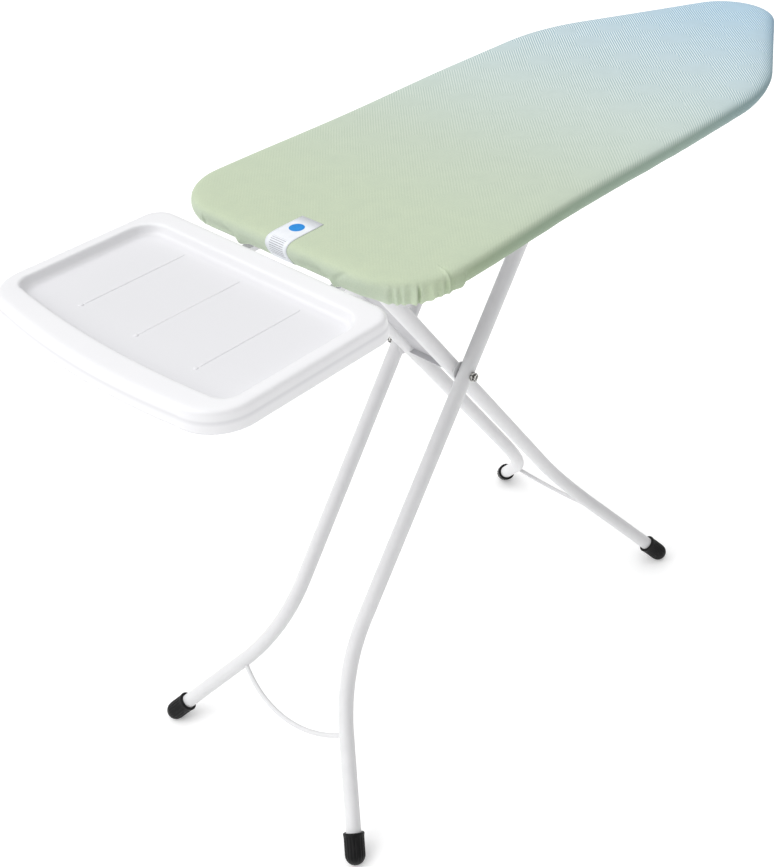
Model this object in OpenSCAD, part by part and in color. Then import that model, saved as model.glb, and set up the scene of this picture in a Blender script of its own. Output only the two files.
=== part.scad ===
// Folding ironing board with a tray for a steam unit at its wide end.
// +X runs from the tray to the nose, +Y from the near side to the far side, +Z is up.
// The origin is on the floor, below the middle of the board with its tray.

/* [Board] */
// Length of the padded board, from the wide end to the nose
board_len = 1214; // [1180:1:1250]
// Width of the padded board
board_w = 473; // [460:1:490]
// Radius of the two corners at the wide end
corner_r = 100; // [50:1:115]
// How far each long side draws in behind the wide end
waist = 5; // [0:0.5:8]
// Radius of the nose
nose_r = 89; // [80:1:100]
// Angle of the taper towards the nose, from the long axis
taper_angle = 28.1; // [25:0.1:30]
// Radius where the long side turns into the taper
shoulder_r = 368; // [200:1:400]

/* [Cover and pad] */
// Thickness of the fabric cover with its bonded lining
cover_t = 2.5; // [1.5:0.1:3]
// Thickness of the foam pad
pad_t = 6.5; // [4:0.5:8]
// Height of the cover's side band, from the hem to the top
band_h = 22; // [18:1:26]
// Width of the size label over the wide end
label_w = 41; // [30:1:50]
// Length of the label along the top
label_len = 74; // [50:1:90]

/* [Steel top] */
// Thickness of the steel sheet
sheet_t = 1.5; // [1:0.1:2]
// Height of the rim band
rim_h = 18; // [17:1:24]
// How far the rim lies inside the edge of the cover
rim_inset = 5; // [4:0.5:7]
// Width of the flange under the rim
flange_w = 10; // [6:1:14]
// Length of one diamond opening
diamond_l = 56; // [30:1:60]
// Width of one diamond opening
diamond_w = 24; // [12:1:26]

/* [Tray] */
// Depth of the tray along the board's long axis
tray_len = 312; // [290:1:320]
// Width of the tray
tray_w = 458; // [440:1:460]
// Height of the tray's skirt and rim
tray_h = 30; // [26:1:34]
// Depth of the recess below the rim
recess_d = 15; // [12:1:17]
// Gap between the tray and the padded board
tray_gap = 10; // [8:1:16]
// Thickness of the moulded wall
tray_t = 3; // [2.5:0.1:3.5]
// Height of the tray's rim below the ironing surface
tray_drop = 17; // [15:1:20]

/* [Legs] */
// Angle of the legs from the floor when the board stands up
leg_angle = 53.72; // [53:0.02:54.5]
// Distance from the crossing bolt to the centre of a foot, along the straight leg
leg_low = 774; // [765:1:780]
// Distance from the crossing bolt to the top pivot
leg_up = 359.5; // [350:0.5:365]
// Outer diameter of the leg tubes
tube_d = 25; // [22:0.5:25]
// Wall of the leg tubes
tube_wall = 1.4; // [1:0.1:2]
// Sideways distance from the middle to the outer pair of tubes
outer_lane = 71.5; // [71:0.1:72.5]
// Sideways distance from the middle to the inner pair of tubes
inner_lane = 44.8; // [44:0.1:45]
// Radius of the bend above the flare
bend_r = 336; // [300:1:350]
// Length of leg over which the feet spread, measured along the straight leg
flare_drop = 241; // [230:1:250]
// Diameter of the curved brace between a pair of tubes
brace_d = 8; // [6:0.5:10]
// Radius of the curved brace
brace_r = 202; // [195:1:210]

/* [Feet] */
// Diameter of a foot cap
foot_d = 34; // [32:0.5:36]
// Length of the straight part of a foot cap
foot_l = 34; // [28:1:38]

/* [Fastenings and catch] */
// Diameter of the bolts where the legs cross
bolt_d = 8; // [7:0.5:8]
// Diameter of the crossbars at the leg tops
bar_d = 10; // [9:0.5:10]
// Radial clearance round a part that turns
run_gap = 0.05; // [0.03:0.01:0.08]
// Distance from the wide end to the fixed top pivot
fixed_pivot_in = 89.5; // [85:0.5:92]
// Lowest angle of the legs when folded
folded_angle = 2.5; // [2.4:0.1:4]
// Thickness of the catch plate
catch_t = 4; // [3:0.5:5]

/* [Hidden] */

$fn = 64;
eps = 0.01;
sides = [-1, 1];

// Plan positions
total_len = tray_len + tray_gap + board_len;
tray_x0 = -total_len / 2;
tray_x1 = tray_x0 + tray_len;
board_x0 = tray_x1 + tray_gap;
board_x1 = board_x0 + board_len;
half_w = board_w / 2;

// Heights
foot_r = foot_d / 2;
foot_z = foot_r - 0.5;
cross_z = foot_z + leg_low * sin(leg_angle);
top_pivot_z = cross_z + leg_up * sin(leg_angle);
pivot_drop = 46.9;
top_z = top_pivot_z + pivot_drop;
pad_z = top_z - cover_t - pad_t;
sheet_z = pad_z - sheet_t;
rim_z = pad_z - rim_h;
hem_z = top_z - band_h;
member_h = 13.5;
member_z = sheet_z - member_h;
member_t = 1.5;
tray_z = top_z - tray_drop;

// Leg positions
fixed_x = board_x0 + fixed_pivot_in;
cross_x = fixed_x + leg_up * cos(leg_angle);
slide_x = cross_x + leg_up * cos(leg_angle);
folded_slide_x = fixed_x + 2 * leg_up * cos(folded_angle);
tube_r = tube_d / 2;
leg_end = 14;
plug_t = 1.5;
// Each foot flares outwards by about 32.5 degrees, on a 336 : 527 : 625 right triangle
flare_angle = atan2(336, 527);
tangent_len = bend_r * tan(flare_angle / 2);
bend_start = -leg_low + flare_drop + tangent_len;
flare_len = flare_drop / cos(flare_angle) - tangent_len;
bolt_r = bolt_d / 2;
bar_r = bar_d / 2;
washer_t = 1.5;
washer_r = 15;
nut_gap = 0.3;

// ---------- outlines ----------

// Centre of the shoulder arc, placed so that the taper is tangent to it and to the nose
shoulder_x = board_x1 - nose_r
    + (nose_r - shoulder_r - cos(taper_angle) * (half_w - shoulder_r)) / sin(taper_angle);
waist_x0 = board_x0 + corner_r;
waist_x1 = board_x0 + 640;

function side_y(x) = half_w - (x < waist_x1 ? waist * pow(sin(180 * (x - waist_x0) / (waist_x1 - waist_x0)), 2) : 0);

// Half the board's width over the straight sides, the wide corners and the shoulders
function board_y(x) = x < waist_x0 ? half_w - corner_r + sqrt(pow(corner_r, 2) - pow(waist_x0 - x, 2))
    : x < shoulder_x ? side_y(x)
    : half_w - shoulder_r + sqrt(pow(shoulder_r, 2) - pow(x - shoulder_x, 2));

function taper_y(x) = nose_r / cos(taper_angle) + (board_x1 - nose_r - x) * tan(taper_angle);

// One half of the board's outline, drawn in by d all round
function half_outline(d) = concat(
    [for (a = [0:9:90]) [board_x0 + corner_r - (corner_r - d) * cos(a),
                         half_w - corner_r + (corner_r - d) * sin(a)]],
    [for (i = [1:13]) let (x = waist_x0 + (waist_x1 - waist_x0) * i / 14) [x, side_y(x) - d]],
    [for (a = [90:-taper_angle / 6:90 - taper_angle + eps]) [shoulder_x + (shoulder_r - d) * cos(a),
                                  half_w - shoulder_r + (shoulder_r - d) * sin(a)]],
    [for (i = [0:12]) let (a = (90 - taper_angle) * (1 - i / 12)) [board_x1 - nose_r + (nose_r - d) * cos(a),
                                  (nose_r - d) * sin(a)]]);

function mirrored(points) = [for (i = [len(points) - 1:-1:0]) if (points[i][1] > eps) [points[i][0], -points[i][1]]];

module board_outline(d) {
    points = half_outline(d);
    polygon(concat(points, mirrored(points)));
}

module board_slab(z0, z1, d) {
    translate([0, 0, z0]) linear_extrude(z1 - z0) board_outline(d);
}

tray_half = tray_w / 2;
tray_corner_in = 33;
tray_corner_out = 61;
tray_bow = 13;
tray_bow_half = tray_half - tray_corner_out;
tray_bow_r = (pow(tray_bow_half, 2) + pow(tray_bow, 2)) / (2 * tray_bow);

// One half of the tray's outline: straight towards the board, bowed at the outer end
function half_tray(x0, x1, half, r_in, r_out, d) = concat(
    [for (i = [0:8]) let (y = (half - r_out) * i / 8)
        [x0 + d + tray_bow_r - sqrt(pow(tray_bow_r, 2) - y * y), y]],
    [for (i = [1:8]) let (a = 90 * i / 8)
        [x0 + tray_bow + r_out - (r_out - d) * cos(a), half - r_out + (r_out - d) * sin(a)]],
    [for (i = [0:8]) let (a = 90 * (1 - i / 8))
        [x1 - r_in + (r_in - d) * cos(a), half - r_in + (r_in - d) * sin(a)]]);

module tray_outline(d) {
    points = half_tray(tray_x0, tray_x1, tray_half, tray_corner_in, tray_corner_out, d);
    polygon(concat(points, mirrored(points)));
}

lip_out = 41;
lip_in = 37;
lip_side = 23;

module recess_outline(d) {
    points = half_tray(tray_x0 + lip_out, tray_x1 - lip_in, tray_half - lip_side, 34, 24, d);
    polygon(concat(points, mirrored(points)));
}

// ---------- cover, pad and label ----------

// The cover's upper edge is drawn in over two small steps
edge_low = 6;
edge_high = 2;
edge_mid = 1.5;
edge_in = 5;

// The label lies in the cover, flush with its top, edge and end
label_t = 0.4;
label_drop = 20;

module label_strip() {
    outer = [[0, -label_drop], [0, -edge_low], [edge_mid, -edge_low], [edge_mid, -edge_high],
             [edge_in, -edge_high], [edge_in, 0], [label_len, 0]];
    inner = [[label_len, -label_t], [edge_in + label_t, -label_t], [edge_in + label_t, -edge_high - label_t],
             [edge_mid + label_t, -edge_high - label_t], [edge_mid + label_t, -edge_low - label_t],
             [label_t, -edge_low - label_t], [label_t, -label_drop]];
    translate([board_x0, 0, top_z]) rotate([90, 0, 0]) linear_extrude(label_w, center = true)
        polygon(concat(outer, inner));
}

module cover() {
    color([0.78, 0.86, 0.78]) difference() {
        union() {
            board_slab(hem_z, top_z - edge_low, 0);
            board_slab(top_z - edge_low - eps, top_z - edge_high, edge_mid);
            board_slab(top_z - edge_high - eps, top_z, edge_in);
        }
        board_slab(hem_z - 1, top_z - cover_t, cover_t);
        label_strip();
    }
}

module foam_pad() {
    color([0.93, 0.92, 0.86]) board_slab(pad_z, top_z - cover_t, cover_t + 0.1);
}

module size_label() {
    color([0.95, 0.96, 0.98]) label_strip();
}

// ---------- steel top ----------

pitch_x = 80;
pitch_y = 44;
edge_land = 26;

module diamond(x, y) {
    translate([x, y]) polygon([[-diamond_l / 2, 0], [0, -diamond_w / 2], [diamond_l / 2, 0], [0, diamond_w / 2]]);
}

function sheet_half(x) = min(half_w - waist, taper_y(x)) - rim_inset - edge_land;

module top_sheet() {
    color([0.75, 0.77, 0.79]) translate([0, 0, sheet_z]) linear_extrude(sheet_t) difference() {
        board_outline(rim_inset + member_t);
        for (i = [0:27]) {
            x = board_x0 + 50 + i * pitch_x / 2;
            for (j = [-6:6]) {
                y = (j + (i % 2) / 2) * pitch_y;
                if (abs(y) + diamond_w / 2 < sheet_half(x + diamond_l / 2) && x < board_x1 - 70
                    && (i > 1 || abs(y) < half_w - corner_r))
                    diamond(x, y);
            }
        }
    }
}

module rim() {
    color([0.62, 0.63, 0.67]) {
        translate([0, 0, rim_z]) linear_extrude(rim_h) difference() {
            board_outline(rim_inset);
            board_outline(rim_inset + member_t);
        }
        translate([0, 0, rim_z]) linear_extrude(member_t) difference() {
            board_outline(rim_inset + member_t - eps);
            board_outline(rim_inset + flange_w);
        }
    }
}

flange_out = 9;

// A hat-section member across the underside of the sheet
module cross_member(x, reach, width) {
    half = width / 2;
    flange = half + flange_out;
    web = [[-half, 0], [half, 0], [half, member_h - member_t], [flange, member_h - member_t], [flange, member_h]];
    inside = [[half - member_t, member_h], [half - member_t, member_t]];
    right = concat(web, inside);
    left = [for (i = [len(right) - 1:-1:1]) [-right[i][0], right[i][1]]];
    color([0.70, 0.71, 0.74]) translate([x, 0, member_z]) rotate([90, 0, 0])
        linear_extrude(2 * reach, center = true) polygon(concat(right, left));
}

member_w = 40;
end_gap = rim_inset + 3.5;
function member_reach(x) = let (half = member_w / 2 + flange_out)
    min(board_y(x - half), board_y(x + half)) - end_gap;
member_2_x = slide_x - 36;
member_3_x = folded_slide_x + 34;
member_4_x = board_x1 - 118;

arm_y = 86;
arm_bolt_x = fixed_x - 8;
arm_bolt_r = 3;

module cross_member_1() {
    difference() {
        cross_member(fixed_x, member_reach(fixed_x), member_w);
        for (s = sides) translate([arm_bolt_x, s * arm_y, member_z - 1]) cylinder(r = arm_bolt_r, h = 4);
    }
}

module cross_member_2() {
    cross_member(member_2_x, member_reach(member_2_x), member_w);
}

module cross_member_3() {
    cross_member(member_3_x, member_reach(member_3_x), member_w);
}

module cross_member_4() {
    cross_member(member_4_x, taper_y(member_4_x + member_w) - end_gap - 8, member_w);
}

// ---------- adjuster and fixed pivot ----------

rail_y = 27;
rail_t = 3;
rail_z = top_pivot_z - 13;
roller_d = 14;
slot_gap = 0.6;
rail_x0 = member_2_x - 14;
rail_x1 = member_3_x + 14;
pin_x = slide_x + 165;
pin_z = top_pivot_z + 15;
pin_r = 3;

// Two rails under the top, with a slot for the crossbar of the outer legs
module adjuster_rails() {
    slot_r = roller_d / 2 + slot_gap;
    color([0.66, 0.67, 0.70]) {
        for (s = sides) difference() {
            translate([rail_x0, s * (rail_y + rail_t / 2) - rail_t / 2, rail_z])
                cube([rail_x1 - rail_x0, rail_t, member_z - rail_z]);
            for (x = [slide_x, folded_slide_x])
                translate([x, s * rail_y, top_pivot_z]) rotate([90, 0, 0])
                    cylinder(r = slot_r, h = 12, center = true);
            translate([slide_x, s * rail_y - 6, top_pivot_z - slot_r])
                cube([folded_slide_x - slide_x, 12, 2 * slot_r]);
            translate([pin_x, s * rail_y, pin_z]) rotate([90, 0, 0])
                cylinder(r = pin_r, h = 12, center = true);
        }
        for (x = [rail_x0, rail_x1 - 28])
            translate([x, -rail_y - eps, member_z - rail_t]) cube([28, 2 * rail_y + 2 * eps, rail_t]);
    }
}

ear_y = 26;
ear_w = 32;

module pivot_bracket() {
    color([0.66, 0.67, 0.70]) {
        for (s = sides) difference() {
            translate([fixed_x - ear_w / 2, s * (ear_y + rail_t / 2) - rail_t / 2, rail_z])
                cube([ear_w, rail_t, member_z - rail_z]);
            translate([fixed_x, s * ear_y, top_pivot_z]) rotate([90, 0, 0])
                cylinder(r = bar_r, h = 12, center = true);
        }
        translate([fixed_x - ear_w / 2, -ear_y - eps, member_z - rail_t])
            cube([ear_w, 2 * ear_y + 2 * eps, rail_t]);
    }
}

// A cylinder along Y
module cross_rod(x, z, r, y0, y1) {
    translate([x, y0, z]) rotate([-90, 0, 0]) cylinder(r = r, h = y1 - y0);
}

fixed_bar_end = inner_lane + tube_r + 1.2;
cap_t = 0.6;
cap_r = 7.5;

module fixed_crossbar() {
    color([0.55, 0.56, 0.58]) cross_rod(fixed_x, top_pivot_z, bar_r, -fixed_bar_end, fixed_bar_end);
}

module crossbar_caps() {
    color([0.5, 0.5, 0.52]) for (s = sides) translate([0, s * (fixed_bar_end - cap_t / 2), 0])
        difference() {
            cross_rod(fixed_x, top_pivot_z, cap_r, -cap_t / 2, cap_t / 2);
            cross_rod(fixed_x, top_pivot_z, bar_r, -cap_t, cap_t);
        }
}

module lever_pin() {
    color([0.6, 0.6, 0.62]) {
        cross_rod(pin_x, pin_z, pin_r, -rail_y - rail_t, rail_y + rail_t);
        cross_rod(pin_x, pin_z, pin_r + 1.6, -rail_y - rail_t - 1.2, -rail_y - rail_t);
    }
}

spring_wire = 1.2;

// Closed turns of the torsion spring round the lever pin
module lever_spring() {
    color([0.7, 0.7, 0.72]) for (i = [0:6]) translate([pin_x, 6 + i * 1.9, pin_z])
        rotate([90, 0, 0]) rotate_extrude($fn = 48) translate([pin_r + 1.2, 0]) circle(d = spring_wire, $fn = 16);
}

hook_x = member_4_x + 8;
hook_z = member_z - 6;
hook_half = 4;
hook_pin_r = 2.5;

module hook_bracket() {
    color([0.66, 0.67, 0.70]) {
        for (s = sides) difference() {
            translate([hook_x - 9, s * (hook_half + 1.8) - 1, hook_z - 7])
                cube([18, 2, member_z - hook_z + 7]);
            cross_rod(hook_x, hook_z, hook_pin_r, -20, 20);
        }
        translate([hook_x - 9, -hook_half - 0.8 - eps, member_z - 1]) cube([18, 2 * hook_half + 1.6 + 2 * eps, 1]);
    }
}

module hook_pin() {
    color([0.6, 0.6, 0.62]) cross_rod(hook_x, hook_z, hook_pin_r, -hook_half - 3.6, hook_half + 3.6);
}

// ---------- tray ----------

arm_w = 16;
arm_h = 8;
floor_z = tray_z - recess_d;
arm_top = tray_z - tray_h;
arm_z = arm_top - arm_h;
boss_r = 7;
arm_x0 = tray_x0 + 60;
arm_x1 = fixed_x + 16;
screw_r = 2;
screw_xs = [tray_x0 + 96, tray_x1 - 70];
rib_pitch = 112;

module tray_slab(z0, z1, d) {
    translate([0, 0, z0]) linear_extrude(z1 - z0) tray_outline(d);
}

module recess_slab(z0, z1, d) {
    translate([0, 0, z0]) linear_extrude(z1 - z0) recess_outline(d);
}

module tray_shell() {
    color([0.97, 0.97, 0.98]) {
        difference() {
            union() {
                tray_slab(tray_z - tray_h, tray_z - 6, 0);
                tray_slab(tray_z - 6 - eps, tray_z - 2, 2);
                tray_slab(tray_z - 2 - eps, tray_z, 6);
            }
            recess_slab(floor_z, tray_z - 6, 4);
            recess_slab(tray_z - 6 - eps, tray_z + 1, 0);
            tray_slab(tray_z - tray_h - 1, floor_z - tray_t, tray_t);
            difference() {
                tray_slab(floor_z - tray_t - eps, tray_z - 6 - tray_t, tray_t + 2);
                recess_slab(floor_z - tray_t - 1, tray_z, 4 - 2 * tray_t);
            }
        }
        for (j = [-1:1]) translate([tray_x0 + 92, j * rib_pitch - 1.5, floor_z - eps]) cube([168, 3, 1.2]);
        for (s = sides) for (x = screw_xs) translate([x, s * arm_y, arm_top]) difference() {
            cylinder(r = boss_r, h = floor_z - tray_t - arm_top + eps);
            translate([0, 0, -1]) cylinder(r = screw_r, h = 2.6);
        }
    }
}

module tray_arm(s) {
    color([0.72, 0.73, 0.75]) difference() {
        union() {
            translate([arm_x0, s * arm_y - arm_w / 2, arm_z]) cube([arm_x1 - arm_x0, arm_w, arm_h]);
            translate([arm_x1 - 46, s * arm_y - arm_w / 2, arm_z]) cube([46, arm_w, member_z - arm_z]);
        }
        for (x = screw_xs) translate([x, s * arm_y, arm_z - 1]) cylinder(r = screw_r, h = arm_h + 2);
        translate([arm_bolt_x, s * arm_y, arm_z - 1]) cylinder(r = arm_bolt_r, h = 40);
    }
}

module tray_screws() {
    color([0.6, 0.6, 0.62]) for (s = sides) for (x = screw_xs) translate([x, s * arm_y, 0]) {
        translate([0, 0, arm_z]) cylinder(r = screw_r, h = arm_h + 1.5);
        translate([0, 0, arm_z - 2]) cylinder(r = 4.2, h = 2);
    }
}

module arm_bolts() {
    color([0.6, 0.6, 0.62]) for (s = sides) translate([arm_bolt_x, s * arm_y, 0]) {
        translate([0, 0, arm_z]) cylinder(r = arm_bolt_r, h = member_z - arm_z + 7);
        translate([0, 0, arm_z - 3]) cylinder(r = 5.5, h = 3, $fn = 6);
        translate([0, 0, member_z + member_t]) difference() {
            cylinder(r = 5.5, h = 4, $fn = 6);
            translate([0, 0, -1]) cylinder(r = arm_bolt_r, h = 6);
        }
    }
}

// ---------- legs ----------
// Each pair is drawn round the crossing bolt, with +Z up along the leg and the feet below.

module inner_frame() {
    translate([cross_x, 0, cross_z]) rotate([0, leg_angle - 90, 0]) children();
}

module outer_frame() {
    translate([cross_x, 0, cross_z]) rotate([0, 90 - leg_angle, 0]) children();
}

module ring(r_out, r_in) {
    difference() {
        circle(r = r_out);
        circle(r = r_in);
    }
}

// The frame of a tube's flared end, turned about the centre of its bend
module flared(lane) {
    translate([0, lane + bend_r, bend_start]) rotate([flare_angle, 0, 0]) translate([0, -bend_r, -flare_len])
        children();
}

// One leg tube, on the +Y side: straight, then bent and flared to its foot
module leg_tube(lane, r_top) {
    inner_r = tube_r - tube_wall;
    reach = bend_r + tube_d;
    difference() {
        union() {
            translate([0, lane, bend_start]) linear_extrude(leg_up + leg_end - bend_start) ring(tube_r, inner_r);
            translate([0, lane + bend_r, bend_start]) difference() {
                rotate([0, 90, 0]) rotate_extrude() translate([bend_r, 0]) ring(tube_r, inner_r);
                translate([-reach, -reach, 0]) cube([2 * reach, 2 * reach, reach]);
                rotate([flare_angle, 0, 0]) translate([-reach, -reach, -reach]) cube([2 * reach, 2 * reach, reach]);
            }
            flared(lane) linear_extrude(flare_len) ring(tube_r, inner_r);
        }
        translate([0, lane, 0]) rotate([90, 0, 0]) cylinder(r = bolt_r + run_gap, h = 40, center = true);
        translate([0, lane, leg_up]) rotate([90, 0, 0]) cylinder(r = r_top, h = 40, center = true);
    }
}

// The outer surface of the flared end of a tube, for trimming the brace
module flare_core(lane) {
    flared(lane) cylinder(r = tube_r, h = flare_len + 40);
}

module foot_cap(lane) {
    flared(lane)
        difference() {
            union() {
                cylinder(r = foot_r, h = foot_l);
                sphere(r = foot_r);
            }
            cylinder(r = tube_r, h = foot_l + 1);
        }
}

// A foot cap with its small flat on the floor
module grounded() {
    difference() {
        children();
        translate([-2000, -500, -100]) cube([4000, 1000, 100]);
    }
}

brace_z = -leg_low - 4 + 321;

module brace(lane) {
    spread = asin((lane + 56) / brace_r);
    difference() {
        translate([0, 0, brace_z]) rotate([0, 90, 0]) rotate([0, 0, -spread])
            rotate_extrude(angle = 2 * spread) translate([brace_r, 0]) circle(d = brace_d, $fn = 32);
        flare_core(lane);
        mirror([0, 1, 0]) flare_core(lane);
    }
}

module tube_plug(lane) {
    translate([0, lane, leg_up + leg_end]) {
        cylinder(r = tube_r, h = plug_t);
        translate([0, 0, -5]) cylinder(r = tube_r - tube_wall, h = 5 + eps);
    }
}

// The inner pair, which hangs from the fixed pivot
module inner_leg_far() {
    color([0.94, 0.94, 0.95]) inner_frame() leg_tube(inner_lane, bar_r + run_gap);
}

module inner_leg_near() {
    color([0.94, 0.94, 0.95]) inner_frame() mirror([0, 1, 0]) leg_tube(inner_lane, bar_r + run_gap);
}

module inner_brace() {
    color([0.94, 0.94, 0.95]) inner_frame() brace(inner_lane);
}

web_t = 2.4;
web_foot = 7.2;
web_top = 230;
web_reach = 9.5;

// A pressed web that ties the inner tubes together, with its lower edge turned forward as a flange
module inner_web() {
    color([0.92, 0.92, 0.93]) inner_frame() difference() {
        rotate([90, 0, 0]) linear_extrude(2 * inner_lane, center = true) polygon([
            [-web_reach, web_foot], [web_t / 2, web_foot], [web_t / 2, web_top],
            [-web_t / 2, web_top], [-web_t / 2, web_foot + web_t], [-web_reach, web_foot + web_t]]);
        for (s = sides) translate([0, s * inner_lane, web_foot - 1]) cylinder(r = tube_r, h = web_top - web_foot + 2);
    }
}

module inner_plugs() {
    color([0.2, 0.2, 0.2]) inner_frame() for (s = [0, 1]) mirror([0, s, 0]) tube_plug(inner_lane);
}

module inner_foot_far() {
    color([0.1, 0.1, 0.1]) grounded() inner_frame() foot_cap(inner_lane);
}

module inner_foot_near() {
    color([0.1, 0.1, 0.1]) grounded() inner_frame() mirror([0, 1, 0]) foot_cap(inner_lane);
}

bolt_y0 = inner_lane - tube_r;
bolt_y1 = outer_lane + tube_r + nut_gap;
bolt_head_r = 6.5;
bolt_head_t = 4.5;

module crossing_bolts() {
    color([0.45, 0.45, 0.47]) inner_frame() for (s = [0, 1]) mirror([0, s, 0]) {
        cross_rod(0, 0, bolt_r, bolt_y0, bolt_y1 + 5);
        cross_rod(0, 0, bolt_head_r, bolt_y0 - bolt_head_t, bolt_y0);
    }
}

module crossing_nuts() {
    color([0.75, 0.76, 0.78]) inner_frame() for (s = [0, 1]) mirror([0, s, 0]) difference() {
        union() {
            translate([0, bolt_y1, 0]) rotate([-90, 0, 0]) cylinder(r = 7.5, h = 6, $fn = 6);
            cross_rod(0, 0, 6, bolt_y1 + 6 - eps, bolt_y1 + 8);
        }
        cross_rod(0, 0, bolt_r, bolt_y1 - 1, bolt_y1 + 5);
    }
}

module crossing_washers() {
    color([0.75, 0.76, 0.78]) inner_frame() for (s = [0, 1]) mirror([0, s, 0]) difference() {
        cross_rod(0, 0, washer_r, inner_lane + tube_r, inner_lane + tube_r + washer_t);
        cross_rod(0, 0, bolt_r, inner_lane, outer_lane);
    }
}

// The outer pair, whose crossbar slides in the adjuster rails
module outer_leg_far() {
    color([0.94, 0.94, 0.95]) outer_frame() leg_tube(outer_lane, bar_r);
}

module outer_leg_near() {
    color([0.94, 0.94, 0.95]) outer_frame() mirror([0, 1, 0]) leg_tube(outer_lane, bar_r);
}

module outer_brace() {
    color([0.94, 0.94, 0.95]) outer_frame() brace(outer_lane);
}

module outer_plugs() {
    color([0.2, 0.2, 0.2]) outer_frame() for (s = [0, 1]) mirror([0, s, 0]) tube_plug(outer_lane);
}

module outer_foot_far() {
    color([0.1, 0.1, 0.1]) grounded() outer_frame() foot_cap(outer_lane);
}

module outer_foot_near() {
    color([0.1, 0.1, 0.1]) grounded() outer_frame() mirror([0, 1, 0]) foot_cap(outer_lane);
}

slide_bar_end = outer_lane + tube_r + 1.5;

module sliding_crossbar() {
    color([0.55, 0.56, 0.58]) cross_rod(slide_x, top_pivot_z, bar_r, -slide_bar_end, slide_bar_end);
}

module sliding_bar_caps() {
    color([0.5, 0.5, 0.52]) for (s = sides) translate([0, s * (slide_bar_end - 0.75), 0]) difference() {
        cross_rod(slide_x, top_pivot_z, cap_r, -0.75, 0.75);
        cross_rod(slide_x, top_pivot_z, bar_r, -2, 2);
    }
}

module slide_rollers() {
    color([0.88, 0.88, 0.86]) for (s = sides) translate([0, s * (rail_y + rail_t / 2), 0]) difference() {
        cross_rod(slide_x, top_pivot_z, roller_d / 2, -2.8, 2.8);
        cross_rod(slide_x, top_pivot_z, bar_r, -4, 4);
    }
}

// ---------- release lever ----------

catch_z = top_pivot_z + bar_r + 1.2;
catch_x0 = slide_x + 4;
catch_h = 9;
tooth = 18;
strap_x = slide_x + 84;
strap_w = 18;
strap_t = 3;
strap_z = member_z + 1;
grip_y1 = -half_w + waist + 22;
grip_y0 = grip_y1 + 76;

// The toothed plate above the sliding crossbar
module catch_plate() {
    color([0.58, 0.59, 0.62]) difference() {
        union() {
            translate([catch_x0, -catch_t / 2, catch_z]) cube([pin_x - catch_x0, catch_t, catch_h]);
            cross_rod(pin_x, pin_z, 7, -catch_t / 2, catch_t / 2);
            translate([strap_x - strap_w / 2, -catch_t / 2, catch_z + catch_h - eps])
                cube([strap_w, catch_t, strap_z - catch_z - catch_h + eps]);
        }
        for (i = [0:6]) translate([catch_x0 + 10 + i * tooth, 0, catch_z]) rotate([90, 0, 0])
            linear_extrude(20, center = true) polygon([[-5, -1], [-5, 3], [5, -1]]);
        cross_rod(pin_x, pin_z, pin_r + run_gap, -10, 10);
    }
}

// The strap from the catch plate to the near edge, with its handle
module release_lever() {
    x0 = strap_x - strap_w / 2;
    color([0.66, 0.67, 0.70]) {
        translate([x0, grip_y0 - strap_t, strap_z]) cube([strap_w, catch_t / 2 - grip_y0 + strap_t, strap_t]);
        translate([x0, grip_y0 - strap_t, strap_z - 12]) cube([strap_w, strap_t, 12 + eps]);
        translate([x0, grip_y1 + 4, strap_z - 12 - strap_t]) cube([strap_w, grip_y0 - grip_y1 - 4, strap_t]);
    }
}

module lever_grip() {
    x0 = strap_x - strap_w / 2;
    z0 = strap_z - 12 - strap_t;
    color([0.25, 0.26, 0.28]) difference() {
        translate([x0 - 3, grip_y1, z0 - 2.5]) cube([strap_w + 6, 62, strap_t + 5]);
        translate([x0, grip_y1 + 4, z0]) cube([strap_w, 80, strap_t]);
    }
}

// ---------- transport hook ----------

hook_reach = 65.9;
hook_throat = 6;
hook_bar = 4;
hook_eye_r = 4.7;
hook_drop = 1.5;
mouth_w = 20;
mouth_h = 24;

// The hook lies flat under the top and swings down over the inner brace
module transport_hook() {
    shank_z = hook_throat + hook_bar / 2;
    color([0.25, 0.26, 0.28]) translate([hook_x, hook_half, hook_z]) rotate([90, 0, 0])
        linear_extrude(2 * hook_half) difference() {
            union() {
                circle(r = hook_eye_r);
                translate([-hook_reach, -hook_drop]) square([hook_reach, hook_bar]);
                translate([-hook_reach, hook_bar - hook_drop - shank_z]) difference() {
                    circle(r = hook_throat + hook_bar);
                    circle(r = hook_throat);
                    translate([0, -mouth_w]) square([mouth_w, mouth_h]);
                }
            }
            circle(r = hook_pin_r + run_gap);
        }
}

cover();
foam_pad();
size_label();
top_sheet();
rim();
cross_member_1();
cross_member_2();
cross_member_3();
cross_member_4();
adjuster_rails();
pivot_bracket();
fixed_crossbar();
crossbar_caps();
lever_pin();
lever_spring();
hook_bracket();
hook_pin();
tray_shell();
tray_arm(-1);  // tray_arm_near
tray_arm(1);  // tray_arm_far
tray_screws();
arm_bolts();
inner_leg_near();
inner_leg_far();
inner_brace();
inner_web();
inner_plugs();
inner_foot_near();
inner_foot_far();
crossing_bolts();
crossing_nuts();
crossing_washers();
outer_leg_near();
outer_leg_far();
outer_brace();
outer_plugs();
outer_foot_near();
outer_foot_far();
sliding_crossbar();
slide_rollers();
sliding_bar_caps();
release_lever();
catch_plate();
lever_grip();
transport_hook();
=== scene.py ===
import bmesh
import bpy
import math
from mathutils import Matrix, Vector, noise


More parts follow.
